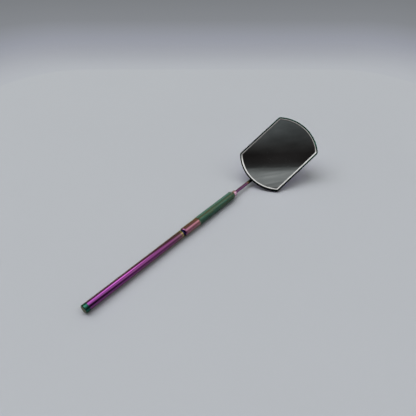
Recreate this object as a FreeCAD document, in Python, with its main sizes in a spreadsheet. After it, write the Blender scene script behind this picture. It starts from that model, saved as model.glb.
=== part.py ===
import FreeCAD, Part
import math
import os

import Sketcher

# Large mouth mirror in coated stainless steel: a two-part handle, a screwed-in stem and a flat
# mirror in a shallow cup. It is modelled as it lies on a table: on the flank of its knurled grip
# and on one edge of the cup.
#
# Handle frame: X runs along the handle from the tail (X = 0) to the head, Y is to the left, Z is up.
# Head frame: the origin is the centre of the rim's circle on the rim's top plane, X runs away from
# the handle, Z is the mirror's normal. Lengths are in millimetres, angles in degrees.

SIZES = {
    # rear handle
    "tube_radius": 2.8,
    "tube_bore": 2.2,
    "tube_chamfer": 0.6,
    "cap_length": 3.1,
    "cap_chamfer": 0.4,
    "plug_length": 7.0,
    "plug_chamfer": 0.4,
    # screwed joint between the two handle parts
    "joint_position": 80.9,
    "groove_width": 1.0,
    "washer_radius": 2.35,
    "washer_play": 0.04,
    "stud_press_length": 11.0,
    "stud_neck_radius": 1.4,
    "stud_radius": 1.75,
    "stud_length": 7.4,
    "stud_pitch": 0.6,
    "stud_bore_depth": 8.4,
    "screw_clearance": 0.05,
    # front grip
    "grip_radius": 3.2,
    "shoulder_length": 0.7,
    "shoulder_drop": 0.35,
    "knurl_radius": 3.3,
    "knurl_position": 96.3,
    "taper_position": 133.2,
    "nose_position": 135.3,
    "taper_radius": 2.4,
    # nose ferrule and seal
    "ferrule_depth": 11.5,
    "ferrule_radius": 1.9,
    "nose_radius": 2.1,
    "nose_length": 2.9,
    "nose_chamfer": 0.3,
    "seat_radius": 1.64,
    "seat_depth": 0.45,
    "seal_radius": 1.41,
    "seal_section": 0.17,
    # stem
    "stem_radius": 1.2,
    "stem_thread_radius": 1.25,
    "stem_pitch": 0.45,
    "stem_thread_length": 9.6,
    "stem_position": 127.4,
    "bend_radius": 5.0,
    "stem_foot": 13.0,
    "foot_chamfer": 0.5,
    # head
    "head_position": 155.6,
    "head_bend": 28.6,
    "rim_radius": 30.0,
    "rim_half_width": 20.9,
    "rim_corner": 2.6,
    "rim_width": 0.8,
    "cup_depth": 2.4,
    "cup_floor": 0.5,
    "cup_edge": 0.9,
    "lip_round": 0.34,
    "pad_thickness": 0.25,
    "coating_thickness": 0.06,
    "glass_thickness": 1.0,
    "glass_play": 0.1,
    "ring_play": 0.03,
    "ring_width": 1.15,
    "ring_height": 0.32,
    "ring_chamfer": 0.2,
    # brazed joint on the back of the cup
    "braze_gap": 0.1,
    "braze_start": 1.7,
    "braze_length": 10.6,
    "braze_half_width": 2.4,
    "braze_half_root": 1.5,
    "braze_height": 1.3,
}

X_AXIS = FreeCAD.Vector(1, 0, 0)
Y_AXIS = FreeCAD.Vector(0, 1, 0)

# Geometry ids and point numbers of the Sketcher.
H_AXIS = -1
V_AXIS = -2
ORIGIN = (-1, 1)
START, END, CENTRE = 1, 2, 3

# A V-thread's depth as a part of its pitch.
THREAD_DEPTH = 0.61

doc = FreeCAD.newDocument("mouth_mirror")


def make_sheet():
    sheet = doc.addObject("Spreadsheet::Sheet", "Sizes")
    for row, (alias, size) in enumerate(SIZES.items(), start=1):
        sheet.set(f"A{row}", alias)
        sheet.set(f"B{row}", str(size))
        sheet.setAlias(f"B{row}", alias)
    doc.recompute()
    return sheet


def bound(text):
    """Turn a formula of sheet words into an expression that names the sheet."""
    words = text.split()
    return " ".join("Sizes." + word if word in SIZES else word for word in words)


def size(text):
    """Value of a formula of sheet words, separated by spaces."""
    return float(sheet.evalExpression(bound(text)))


def new_body(label):
    body = doc.addObject("PartDesign::Body", label)
    body.Label = label
    return body


def new_sketch(body, name, role, offset=None):
    """Sketch on an origin plane of the body, moved along the plane's normal by a sheet formula."""
    sketch = body.newObject("Sketcher::SketchObject", name)
    plane = next(item for item in body.Origin.OriginFeatures if item.Role == role)
    sketch.AttachmentSupport = [(plane, "")]
    sketch.MapMode = "FlatFace"
    if offset is not None:
        sketch.setExpression("AttachmentOffset.Base.z", bound(offset))
    return sketch


def constrain(sketch, kind, place, formula):
    """Add a dimension and bind it to the sheet."""
    index = sketch.addConstraint(Sketcher.Constraint(kind, *place, size(formula)))
    sketch.setExpression(f"Constraints[{index}]", bound(formula))


def place_point(sketch, geometry, point, across, up):
    """Fix a sketch point at two distances, each a sheet formula, from the sketch's origin."""
    for kind, axis, formula in (("DistanceX", V_AXIS, across), ("DistanceY", H_AXIS, up)):
        if formula == "0":
            sketch.addConstraint(Sketcher.Constraint("PointOnObject", geometry, point, axis))
        elif size(formula) < 0:
            constrain(sketch, kind, (geometry, point, *ORIGIN), f"-1 * ( {formula} )")
        else:
            constrain(sketch, kind, (*ORIGIN, geometry, point), formula)


def add_polygon(sketch, corners):
    """Closed outline whose corners are pairs of sheet formulas."""
    points = [FreeCAD.Vector(size(across), size(up), 0) for across, up in corners]
    count = len(points)
    for index in range(count):
        sketch.addGeometry(Part.LineSegment(points[index], points[(index + 1) % count]), False)
    for index in range(count):
        following = (index + 1) % count
        sketch.addConstraint(Sketcher.Constraint("Coincident", index, END, following, START))
        place_point(sketch, index, START, *corners[index])


def turned_body(label, corners):
    """Piece turned about the handle's axis: the corners give (position, radius)."""
    body = new_body(label)
    sketch = new_sketch(body, label + "_profile", "XZ_Plane")
    add_polygon(sketch, corners)
    turning = body.newObject("PartDesign::Revolution", label + "_turning")
    turning.Profile = sketch
    turning.ReferenceAxis = (sketch, ["H_Axis"])
    turning.Angle = 360
    return body


def cut_thread(body, label, start, radius, pitch, length):
    """Cut a right-hand V-thread about the handle's axis."""
    doc.recompute()
    before = body.Shape.Volume
    sketch = new_sketch(body, label + "_thread_profile", "XZ_Plane")
    root = f"{radius} - {pitch} * {THREAD_DEPTH}"
    outside = f"{radius} + {pitch} * 0.15"
    add_polygon(
        sketch,
        [
            (f"{start} - {pitch} * 0.48", outside),
            (f"{start} - {pitch} * 0.06", root),
            (f"{start} + {pitch} * 0.06", root),
            (f"{start} + {pitch} * 0.48", outside),
        ],
    )
    helix = body.newObject("PartDesign::SubtractiveHelix", label + "_thread")
    helix.Profile = sketch
    helix.ReferenceAxis = (sketch, ["H_Axis"])
    helix.Mode = "pitch-height-angle"
    helix.setExpression("Pitch", bound(pitch))
    helix.setExpression("Height", bound(length))
    doc.recompute()
    if body.Shape.Volume >= before:
        raise RuntimeError(label + ": the thread cut nothing")


def build_tail_cap():
    return turned_body(
        "tail_cap",
        [
            ("0", "0"),
            ("0", "tube_radius - cap_chamfer"),
            ("cap_chamfer", "tube_radius"),
            ("cap_length", "tube_radius"),
            ("cap_length", "tube_bore"),
            ("cap_length + plug_length - plug_chamfer", "tube_bore"),
            ("cap_length + plug_length", "tube_bore - plug_chamfer"),
            ("cap_length + plug_length", "0"),
        ],
    )


def build_rear_tube():
    return turned_body(
        "rear_tube",
        [
            ("cap_length", "tube_bore"),
            ("cap_length", "tube_radius"),
            ("joint_position - tube_chamfer", "tube_radius"),
            ("joint_position", "tube_radius - tube_chamfer * 0.5"),
            ("joint_position", "tube_bore"),
        ],
    )


def build_joint_stud():
    """Stud pressed into the rear tube; its thread screws into the grip."""
    end = "joint_position + groove_width + stud_length"
    body = turned_body(
        "joint_stud",
        [
            ("joint_position - stud_press_length", "0"),
            ("joint_position - stud_press_length", "tube_bore - plug_chamfer"),
            ("joint_position - stud_press_length + plug_chamfer", "tube_bore"),
            ("joint_position", "tube_bore"),
            ("joint_position", "stud_neck_radius"),
            ("joint_position + groove_width", "stud_neck_radius"),
            ("joint_position + groove_width", "stud_radius"),
            (f"{end} - plug_chamfer", "stud_radius"),
            (end, "stud_radius - plug_chamfer"),
            (end, "0"),
        ],
    )
    cut_thread(
        body,
        "joint_stud",
        "joint_position + groove_width + stud_pitch",
        "stud_radius",
        "stud_pitch",
        "stud_length - stud_pitch",
    )
    return body


def build_joint_washer():
    """Ring that fills the groove of the joint, loose on the stud's neck."""
    back = "joint_position + washer_play"
    front = "joint_position + groove_width - washer_play"
    bore = "stud_neck_radius + screw_clearance"
    return turned_body(
        "joint_washer",
        [(back, bore), (back, "washer_radius"), (front, "washer_radius"), (front, bore)],
    )


def build_grip():
    """Front handle: smooth length, knurled length, taper, and a blind bore at each end."""
    back = "joint_position + groove_width"
    bore = "stud_radius + screw_clearance"
    return turned_body(
        "grip",
        [
            (back, bore),
            (back, "grip_radius - shoulder_drop"),
            (f"{back} + shoulder_length", "grip_radius"),
            ("knurl_position - knurl_radius + grip_radius", "grip_radius"),
            ("knurl_position", "knurl_radius"),
            ("taper_position", "knurl_radius"),
            ("nose_position", "taper_radius"),
            ("nose_position", "ferrule_radius"),
            ("nose_position - ferrule_depth", "ferrule_radius"),
            ("nose_position - ferrule_depth", "0"),
            (f"{back} + stud_bore_depth", "0"),
            (f"{back} + stud_bore_depth", bore),
        ],
    )


def build_nose_ferrule():
    """Threaded ferrule pressed into the grip; its head is the ring at the nose."""
    tip = "nose_position + nose_length"
    bore = "stem_thread_radius + screw_clearance"
    return turned_body(
        "nose_ferrule",
        [
            ("nose_position - ferrule_depth", bore),
            ("nose_position - ferrule_depth", "ferrule_radius"),
            ("nose_position", "ferrule_radius"),
            ("nose_position", "nose_radius"),
            (f"{tip} - nose_chamfer", "nose_radius"),
            (tip, "nose_radius - nose_chamfer * 0.6"),
            (tip, "seat_radius"),
            (f"{tip} - seat_depth", "seat_radius"),
            (f"{tip} - seat_depth", bore),
        ],
    )


def build_stem_seal():
    """Small O-ring in the ferrule's mouth, round the stem."""
    body = new_body("stem_seal")
    sketch = new_sketch(body, "stem_seal_section", "XZ_Plane")
    across = "nose_position + nose_length - seat_depth * 0.5"
    centre = FreeCAD.Vector(size(across), size("seal_radius"), 0)
    sketch.addGeometry(Part.Circle(centre, FreeCAD.Vector(0, 0, 1), size("seal_section")), False)
    constrain(sketch, "Radius", (0,), "seal_section")
    place_point(sketch, 0, CENTRE, across, "seal_radius")
    turning = body.newObject("PartDesign::Revolution", "stem_seal_turning")
    turning.Profile = sketch
    turning.ReferenceAxis = (sketch, ["H_Axis"])
    turning.Angle = 360
    return body


def head_height():
    """Height of the rim's near edge above the handle's axis: the cup lies on the stem there."""
    bend = math.radians(size("head_bend"))
    return size("cup_depth") * math.cos(bend) + size("stem_radius")


def bend_position():
    """Position on the handle's axis of the corner between the stem's two straight lengths."""
    bend = math.radians(size("head_bend"))
    below = size("cup_depth + braze_gap + stem_radius")
    return size("head_position") + (below - head_height() * math.cos(bend)) / math.sin(bend)


def build_stem():
    """Threaded rod, bent under the head and laid along the back of the cup."""
    body = turned_body(
        "stem",
        [
            ("stem_position", "0"),
            ("stem_position", "stem_thread_radius - stem_pitch"),
            ("stem_position + stem_pitch", "stem_thread_radius"),
            ("stem_position + stem_thread_length", "stem_thread_radius"),
            ("stem_position + stem_thread_length", "0"),
        ],
    )

    bend = math.radians(size("head_bend"))
    corner = bend_position()
    setback = size("bend_radius") * math.tan(bend / 2)
    start = FreeCAD.Vector(size("stem_position + stem_thread_length"), 0, 0)
    arc_start = FreeCAD.Vector(corner - setback, 0, 0)
    arc_centre = FreeCAD.Vector(corner - setback, size("bend_radius"), 0)
    along = FreeCAD.Vector(math.cos(bend), math.sin(bend), 0)
    arc_end = FreeCAD.Vector(corner, 0, 0) + along * setback
    foot_end = arc_end + along * size("stem_foot")

    path = new_sketch(body, "stem_path", "XZ_Plane")
    circle = Part.Circle(arc_centre, FreeCAD.Vector(0, 0, 1), size("bend_radius"))
    path.addGeometry(Part.LineSegment(start, arc_start), False)
    path.addGeometry(Part.ArcOfCircle(circle, -math.pi / 2, -math.pi / 2 + bend), False)
    path.addGeometry(Part.LineSegment(arc_end, foot_end), False)
    place_point(path, 0, START, "stem_position + stem_thread_length", "0")
    path.addConstraint(Sketcher.Constraint("Horizontal", 0))
    path.addConstraint(Sketcher.Constraint("Tangent", 0, END, 1, START))
    path.addConstraint(Sketcher.Constraint("Tangent", 1, END, 2, START))
    path.addConstraint(Sketcher.Constraint("DistanceX", *ORIGIN, 0, END, corner - setback))
    constrain(path, "Radius", (1,), "bend_radius")
    constrain(path, "Distance", (2,), "stem_foot")
    path.addConstraint(Sketcher.Constraint("Angle", H_AXIS, START, 2, START, bend))

    section = new_sketch(body, "stem_section", "YZ_Plane", "stem_position + stem_thread_length")
    middle = FreeCAD.Vector(0, 0, 0)
    section.addGeometry(Part.Circle(middle, FreeCAD.Vector(0, 0, 1), size("stem_radius")), False)
    section.addConstraint(Sketcher.Constraint("Coincident", 0, CENTRE, *ORIGIN))
    constrain(section, "Radius", (0,), "stem_radius")
    doc.recompute()

    rod = body.newObject("PartDesign::AdditivePipe", "stem_rod")
    rod.Profile = section
    rod.Spine = (path, ["Edge1", "Edge2", "Edge3"])
    doc.recompute()

    last = foot_end.x
    tips = [
        f"Edge{index}"
        for index, edge in enumerate(rod.Shape.Edges, start=1)
        if edge.Closed and abs(edge.CenterOfMass.x - last) < size("stem_radius")
    ]
    tip = body.newObject("PartDesign::Chamfer", "stem_tip")
    tip.Base = (rod, tips)
    tip.setExpression("Size", bound("foot_chamfer"))
    doc.recompute()

    cut_thread(
        body,
        "stem",
        "stem_position",
        "stem_thread_radius",
        "stem_pitch",
        "stem_thread_length - stem_pitch",
    )
    return body


def add_head_outline(sketch, inset, first=0):
    """Circle cut off by two straight sides, moved inwards by a sheet formula; corners rounded."""
    radius = f"rim_radius - ( {inset} )"
    half_width = f"rim_half_width - ( {inset} )"
    corner = f"rim_corner - ( {inset} ) * 0.6"
    r, w, c = size(radius), size(half_width), size(corner)
    up = w - c
    across = math.sqrt((r - c) ** 2 - up**2)
    lean = math.atan2(up, across)
    quarter = math.pi / 2

    def arc(x, y, arc_radius, start, end):
        circle = Part.Circle(FreeCAD.Vector(x, y, 0), FreeCAD.Vector(0, 0, 1), arc_radius)
        sketch.addGeometry(Part.ArcOfCircle(circle, start, end), False)

    def line(x_start, x_end, y):
        start = FreeCAD.Vector(x_start, y, 0)
        sketch.addGeometry(Part.LineSegment(start, FreeCAD.Vector(x_end, y, 0)), False)

    arc(0, 0, r, -lean, lean)
    arc(across, up, c, lean, quarter)
    line(across, -across, w)
    arc(-across, up, c, quarter, 2 * quarter - lean)
    arc(0, 0, r, 2 * quarter - lean, 2 * quarter + lean)
    arc(-across, -up, c, 2 * quarter + lean, 3 * quarter)
    line(-across, across, -w)
    arc(across, -up, c, 3 * quarter, 4 * quarter - lean)

    pieces = 8
    for index in range(pieces):
        following = first + (index + 1) % pieces
        sketch.addConstraint(Sketcher.Constraint("Tangent", first + index, END, following, START))
    far_arc, near_arc = first, first + 4
    left_side, right_side = first + 2, first + 6
    corners = (first + 1, first + 3, first + 5, first + 7)
    for side in (far_arc, near_arc):
        sketch.addConstraint(Sketcher.Constraint("Coincident", side, CENTRE, *ORIGIN))
    for side in (left_side, right_side):
        sketch.addConstraint(Sketcher.Constraint("Horizontal", side))
    sketch.addConstraint(Sketcher.Constraint("Equal", far_arc, near_arc))
    for other in corners[1:]:
        sketch.addConstraint(Sketcher.Constraint("Equal", corners[0], other))
    constrain(sketch, "Radius", (far_arc,), radius)
    constrain(sketch, "Radius", (corners[0],), corner)
    constrain(sketch, "DistanceY", (*ORIGIN, left_side, START), half_width)
    constrain(sketch, "DistanceY", (right_side, START, *ORIGIN), half_width)


def head_plate(label, inset, base, thickness, hole_inset=None):
    """Flat piece of the head with the rim's outline, from a base height up by its thickness."""
    body = new_body(label)
    sketch = new_sketch(body, label + "_outline", "XY_Plane", base)
    add_head_outline(sketch, inset)
    if hole_inset is not None:
        add_head_outline(sketch, hole_inset, first=8)
    pad = body.newObject("PartDesign::Pad", label + "_pad")
    pad.Profile = sketch
    pad.setExpression("Length", bound(thickness))
    doc.recompute()
    return body


def edges_at(shape, height, inset_limits):
    """Names of the edges in the plane z = height whose nearest point to the rim lies in a band."""
    low, high = inset_limits
    names = []
    for index, edge in enumerate(shape.Edges, start=1):
        box = edge.BoundBox
        flat = abs(box.ZMin - height) < 1e-4 and abs(box.ZMax - height) < 1e-4
        if not flat:
            continue
        middle = edge.valueAt((edge.FirstParameter + edge.LastParameter) / 2)
        inset = min(
            size("rim_radius") - math.hypot(middle.x, middle.y),
            size("rim_half_width") - abs(middle.y),
        )
        if low <= inset <= high:
            names.append(f"Edge{index}")
    return names


def round_edges(body, name, base, names, radius):
    rounding = body.newObject("PartDesign::Fillet", name)
    rounding.Base = (base, names)
    rounding.setExpression("Radius", bound(radius))
    doc.recompute()
    return rounding


def build_mirror_cup():
    """Shallow back pan with a rounded edge and a rolled rim."""
    body = head_plate("mirror_cup", "0", "-1 * cup_depth", "cup_depth")
    blank = body.Shape.Volume
    hollow = new_sketch(body, "mirror_cup_hollow", "XY_Plane")
    add_head_outline(hollow, "rim_width")
    pocket = body.newObject("PartDesign::Pocket", "mirror_cup_pocket")
    pocket.Profile = hollow
    pocket.setExpression("Length", bound("cup_depth - cup_floor"))
    doc.recompute()
    if pocket.Shape.Volume > 0.6 * blank:
        raise RuntimeError("mirror_cup: the pocket cut too little")

    back_names = edges_at(pocket.Shape, -size("cup_depth"), (-0.1, 0.3))
    back = round_edges(body, "mirror_cup_back_edge", pocket, back_names, "cup_edge")
    rim_names = edges_at(back.Shape, 0, (-0.1, size("rim_width") + 0.3))
    round_edges(body, "mirror_cup_lip", back, rim_names, "lip_round")
    return body


def build_adhesive_pad():
    base = "cup_floor - cup_depth"
    return head_plate("adhesive_pad", "rim_width + glass_play * 3", base, "pad_thickness")


def build_mirror_coating():
    base = "cup_floor + pad_thickness - cup_depth"
    return head_plate("mirror_coating", "rim_width + glass_play", base, "coating_thickness")


def build_mirror_glass():
    base = "cup_floor + pad_thickness + coating_thickness - cup_depth"
    return head_plate("mirror_glass", "rim_width + glass_play", base, "glass_thickness")


def build_retaining_ring():
    """Bright ring over the glass's edge, held by the rim."""
    base = "cup_floor + pad_thickness + coating_thickness + glass_thickness - cup_depth"
    body = head_plate(
        "retaining_ring",
        "rim_width + ring_play",
        base,
        "ring_height",
        hole_inset="rim_width + ring_width",
    )
    pad = body.Tip
    top = size(f"{base} + ring_height")
    inner = size("rim_width + ring_width")
    names = edges_at(pad.Shape, top, (inner - 0.05, inner + 0.6))
    bevel = body.newObject("PartDesign::Chamfer", "retaining_ring_bevel")
    bevel.Base = (pad, names)
    bevel.setExpression("Size", bound("ring_chamfer"))
    doc.recompute()
    return body


def build_braze_joint():
    """Bead of braze between the stem's foot and the back of the cup."""
    body = new_body("braze_joint")
    base = "braze_start - rim_radius"
    bottom = "-1 * ( cup_depth + braze_height )"
    section = new_sketch(body, "braze_joint_section", "YZ_Plane", base)
    add_polygon(
        section,
        [
            ("-1 * braze_half_width", "-1 * cup_depth"),
            ("-1 * braze_half_root", bottom),
            ("braze_half_root", bottom),
            ("braze_half_width", "-1 * cup_depth"),
        ],
    )
    bead = body.newObject("PartDesign::Pad", "braze_joint_bead")
    bead.Profile = section
    bead.setExpression("Length", bound("braze_length"))
    doc.recompute()
    solid = body.Shape.Volume

    channel = new_sketch(body, "braze_joint_channel", "YZ_Plane", base)
    middle = "-1 * ( cup_depth + braze_gap + stem_radius )"
    centre = FreeCAD.Vector(0, size(middle), 0)
    channel.addGeometry(Part.Circle(centre, FreeCAD.Vector(0, 0, 1), size("stem_radius")), False)
    constrain(channel, "Radius", (0,), "stem_radius")
    place_point(channel, 0, CENTRE, "0", middle)
    pocket = body.newObject("PartDesign::Pocket", "braze_joint_pocket")
    pocket.Profile = channel
    pocket.Reversed = True
    pocket.setExpression("Length", bound("braze_length"))
    doc.recompute()
    if body.Shape.Volume > 0.8 * solid:
        raise RuntimeError("braze_joint: the channel cut too little")
    return body


def head_placement(roll):
    """Head frame in the handle frame, turned by a roll about the handle's axis."""
    turn = FreeCAD.Placement(FreeCAD.Vector(), FreeCAD.Rotation(X_AXIS, roll))
    edge = FreeCAD.Vector(size("head_position"), 0, head_height())
    bend = FreeCAD.Placement(edge, FreeCAD.Rotation(Y_AXIS, -size("head_bend")))
    centre = FreeCAD.Placement(FreeCAD.Vector(size("rim_radius"), 0, 0), FreeCAD.Rotation())
    return turn.multiply(bend).multiply(centre)


def resting_roll(cup):
    """Roll at which the cup's edge comes down to the level of the knurl's lowest line."""
    shape = cup.Shape.copy()
    level = -size("knurl_radius")
    low, high = 5.0, 45.0
    while high - low > 1e-4:
        middle = (low + high) / 2
        shape.Placement = head_placement(middle)
        if shape.optimalBoundingBox(False, False).ZMin > level:
            low = middle
        else:
            high = middle
    return low


def place_parts(turned, stem, head, cup):
    """Lay the object on the plane Z = 0, with the middle of its bounding box over the origin."""
    roll = resting_roll(cup)
    local = {}
    for body in turned:
        local[body.Name] = FreeCAD.Placement()
    local[stem.Name] = FreeCAD.Placement(FreeCAD.Vector(), FreeCAD.Rotation(X_AXIS, roll))
    for body in head:
        local[body.Name] = head_placement(roll)

    bodies = turned + [stem] + head
    whole = FreeCAD.BoundBox()
    for body in bodies:
        shape = body.Shape.copy()
        shape.Placement = local[body.Name]
        whole.add(shape.optimalBoundingBox(False, False))
    shift = FreeCAD.Vector(-whole.Center.x, -whole.Center.y, -whole.ZMin)
    rest = FreeCAD.Placement(shift, FreeCAD.Rotation())
    for body in bodies:
        body.Placement = rest.multiply(local[body.Name])
    doc.recompute()
    print(f"roll {roll:.3f}, tail at {shift.x:.4f} {shift.y:.4f} {shift.z:.4f}")
    print(f"size {whole.XLength:.3f} x {whole.YLength:.3f} x {whole.ZLength:.3f}")
    return bodies


def check_document(bodies):
    for item in doc.Objects:
        if "Invalid" in item.State or "Error" in item.State:
            raise RuntimeError(f"{item.Name} failed: {item.State}")
        if item.TypeId == "Sketcher::SketchObject" and not item.FullyConstrained:
            raise RuntimeError(f"{item.Name} isn't fully constrained")
    for body in bodies:
        if body.Shape.isNull() or not body.Shape.isValid():
            raise RuntimeError(f"{body.Label}: no valid shape")


def write_parts(bodies):
    os.makedirs("parts", exist_ok=True)
    for body in bodies:
        body.Shape.exportStep(f"parts/{body.Label}.step")
        print(f"{body.Label}: {body.Shape.Volume:.2f} mm3")


sheet = make_sheet()
turned_parts = [
    build_tail_cap(),
    build_rear_tube(),
    build_joint_stud(),
    build_joint_washer(),
    build_grip(),
    build_nose_ferrule(),
    build_stem_seal(),
]
stem_part = build_stem()
cup_part = build_mirror_cup()
head_parts = [
    build_braze_joint(),
    cup_part,
    build_adhesive_pad(),
    build_mirror_coating(),
    build_mirror_glass(),
    build_retaining_ring(),
]
doc.recompute()
all_parts = place_parts(turned_parts, stem_part, head_parts, cup_part)
check_document(all_parts)
write_parts(all_parts)
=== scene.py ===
"""Looks of the mouth mirror: a rainbow-coated steel handle, a bent stem and a mirror in a shallow cup.

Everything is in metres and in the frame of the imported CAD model.
"""
import math

import bmesh
import bpy
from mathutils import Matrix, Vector


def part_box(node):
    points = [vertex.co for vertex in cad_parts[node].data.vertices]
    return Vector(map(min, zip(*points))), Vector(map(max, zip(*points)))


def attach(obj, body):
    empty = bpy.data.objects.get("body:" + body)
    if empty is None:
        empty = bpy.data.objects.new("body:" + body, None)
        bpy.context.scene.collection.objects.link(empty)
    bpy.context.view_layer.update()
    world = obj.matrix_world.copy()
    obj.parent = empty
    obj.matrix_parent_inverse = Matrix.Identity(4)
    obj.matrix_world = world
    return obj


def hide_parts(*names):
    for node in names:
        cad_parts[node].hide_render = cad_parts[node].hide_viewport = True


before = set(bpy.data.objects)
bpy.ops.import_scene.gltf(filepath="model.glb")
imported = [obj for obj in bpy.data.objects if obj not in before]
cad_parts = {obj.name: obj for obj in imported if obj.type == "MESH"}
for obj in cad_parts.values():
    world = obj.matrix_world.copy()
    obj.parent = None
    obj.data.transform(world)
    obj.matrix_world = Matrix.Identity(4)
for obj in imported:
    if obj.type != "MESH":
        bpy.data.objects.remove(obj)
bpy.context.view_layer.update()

MM = 0.001

# The handle's axis runs along X through the middle of the rear tube; its tail end is the near end.
TUBE_LOW, TUBE_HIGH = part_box("rear_tube")
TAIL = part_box("tail_cap")[0].x
AXIS_Y = (TUBE_LOW.y + TUBE_HIGH.y) / 2
AXIS_Z = (TUBE_LOW.z + TUBE_HIGH.z) / 2

# Front handle, read from the CAD node and from the driving sizes of the CAD part.
GRIP_LOW, GRIP_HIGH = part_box("grip")
KNURL_RADIUS = (GRIP_HIGH.z - GRIP_LOW.z) / 2
SMOOTH_RADIUS = KNURL_RADIUS - 0.1 * MM
SHOULDER_LENGTH = 0.7 * MM
SHOULDER_DROP = 0.35 * MM
KNURL_START = GRIP_LOW.x + 14.4 * MM
TAPER_START = GRIP_HIGH.x - 2.1 * MM
TAPER_RADIUS = 2.4 * MM
STUD_BORE_RADIUS = 1.8 * MM
STUD_BORE_DEPTH = 8.4 * MM
BORE_CHAMFER = 0.08 * MM
FERRULE_BORE_RADIUS = 1.9 * MM
FERRULE_BORE_DEPTH = 11.5 * MM

# Diamond knurl
KNURL_STARTS = 20
KNURL_STEP = 1.04 * MM
KNURL_DEPTH = 0.17 * MM
KNURL_RUN_OUT = 0.45 * MM
KNURL_EDGE_ANGLE = math.radians(24)

# Places along the handle, measured from the tail
CAP_LENGTH = 3.1 * MM
JOINT_PLACE = 80.9 * MM
NOSE_PLACE = GRIP_HIGH.x - TAIL
NOSE_LENGTH = 2.9 * MM
THREAD_END = 137.1 * MM
STEM_TINT_START = 139.0 * MM
STEM_TINT_END = 172.0 * MM
CUP_TINT_START = 155.0 * MM
CUP_TINT_END = 209.0 * MM

# Head: a circle with two flat sides. The ring's edges are distances in from the outline.
RIM_RADIUS = 30.0 * MM
RIM_HALF_WIDTH = 20.9 * MM
RING_OUTER = 0.8 * MM
RING_INNER = 1.95 * MM
RING_ROUNDNESS = 0.36


def head_axes():
    """Middle of the glass, and unit vectors along the head's flat sides, across them and out of its front."""
    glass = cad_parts["mirror_glass"].data
    front = Vector(max(glass.polygons, key=lambda face: face.area).normal)
    if front.z < 0:
        front = -front
    lengthwise = (Vector((1, 0, 0)) - front * front.x).normalized()
    sideways = front.cross(lengthwise)
    middle = Vector((0, 0, 0))
    for way in (lengthwise, sideways, front):
        reach = [vertex.co.dot(way) for vertex in glass.vertices]
        middle += way * (min(reach) + max(reach)) / 2
    return middle, lengthwise, sideways, front


HEAD_MIDDLE, HEAD_LENGTHWISE, HEAD_SIDEWAYS, CUP_FRONT = head_axes()
RING_TILT = 0.08 * HEAD_LENGTHWISE + 0.27 * HEAD_SIDEWAYS
NEAR_RIGHT = -0.62 * HEAD_LENGTHWISE - 0.78 * HEAD_SIDEWAYS

CAMERA_FROM_TAIL = Vector((-55.17, -144.73, 205.86)) * MM
CAMERA_HEADING = math.radians(48.32)
CAMERA_DIP = math.radians(42.65)
CAMERA_LENS = 36.346
SENSOR_WIDTH = 36.0


# ---------------------------------------------------------------- shader graphs


class Graph:
    """A shader node tree that is filled by short calls."""

    def __init__(self, tree):
        self.tree = tree
        self.tree.nodes.clear()

    def add(self, kind, inputs=None, **settings):
        """Add a node; an input is a number, a colour or another node's output."""
        node = self.tree.nodes.new(kind)
        for name, value in settings.items():
            setattr(node, name, value)
        for key, value in (inputs or {}).items():
            self.plug(node.inputs[key], value)
        return node

    def plug(self, socket, value):
        if isinstance(value, bpy.types.NodeSocket):
            self.tree.links.new(value, socket)
        elif value is not None:
            socket.default_value = value

    def maths(self, operation, first, second=None, third=None, clamp=False):
        node = self.add("ShaderNodeMath", operation=operation, use_clamp=clamp)
        for socket, value in zip(node.inputs, (first, second, third)):
            self.plug(socket, value)
        return node.outputs[0]

    def step(self, value, start, end, low=0.0, high=1.0):
        """Smooth step of value from low at start to high at end."""
        node = self.add("ShaderNodeMapRange", interpolation_type="SMOOTHSTEP")
        for name, number in (
            ("Value", value), ("From Min", start), ("From Max", end), ("To Min", low), ("To Max", high),
        ):
            self.plug(node.inputs[name], number)
        return node.outputs["Result"]

    def vector(self, operation, first, second=None, scale=None):
        """Operation on one or two vectors; a dot product gives a number."""
        node = self.add("ShaderNodeVectorMath", {0: first, 1: second}, operation=operation)
        if scale is not None:
            self.plug(node.inputs["Scale"], scale)
        return node.outputs["Value" if operation == "DOT_PRODUCT" else "Vector"]

    def hypotenuse(self, first, second):
        """Length of the long side over two sides at a right angle."""
        squares = (self.maths("MULTIPLY", side, side) for side in (first, second))
        return self.maths("SQRT", self.maths("ADD", *squares))

    def ramp(self, value, stops):
        """Colour by value: stops are (place, colour)."""
        node = self.add("ShaderNodeValToRGB", {"Fac": value})
        band = node.color_ramp
        while len(band.elements) > 1:
            band.elements.remove(band.elements[-1])
        band.elements[0].position = stops[0][0]
        band.elements[0].color = opaque(stops[0][1])
        for place, colour in stops[1:]:
            band.elements.new(place).color = opaque(colour)
        return node.outputs["Color"]

    def mix(self, share, first, second, blend="MIX"):
        node = self.add("ShaderNodeMix", data_type="RGBA", blend_type=blend)
        self.plug(node.inputs[0], share)
        self.plug(node.inputs[6], opaque(first))
        self.plug(node.inputs[7], opaque(second))
        return node.outputs[2]

    def noise(self, vector, scale, detail=2.0, roughness=0.5):
        node = self.add(
            "ShaderNodeTexNoise",
            {"Vector": vector, "Scale": scale, "Detail": detail, "Roughness": roughness},
        )
        return node.outputs["Fac"]

    def stretched(self, vector, factors):
        return self.vector("MULTIPLY", vector, factors)

    def bump(self, height, strength, distance, below=None):
        node = self.add("ShaderNodeBump", {"Height": height, "Strength": strength, "Distance": distance})
        if below is not None:
            self.plug(node.inputs["Normal"], below)
        return node.outputs["Normal"]


def opaque(colour):
    """Colour as four numbers; a socket passes through."""
    if isinstance(colour, bpy.types.NodeSocket):
        return colour
    return (*colour, 1.0) if len(colour) == 3 else colour


def grey(tone):
    return tone, tone, tone


def srgb(red, green, blue):
    """Linear colour of display values from 0 to 255."""
    return tuple(
        value / 12.92 if value <= 0.04045 else ((value + 0.055) / 1.055) ** 2.4
        for value in (red / 255, green / 255, blue / 255)
    )


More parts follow.
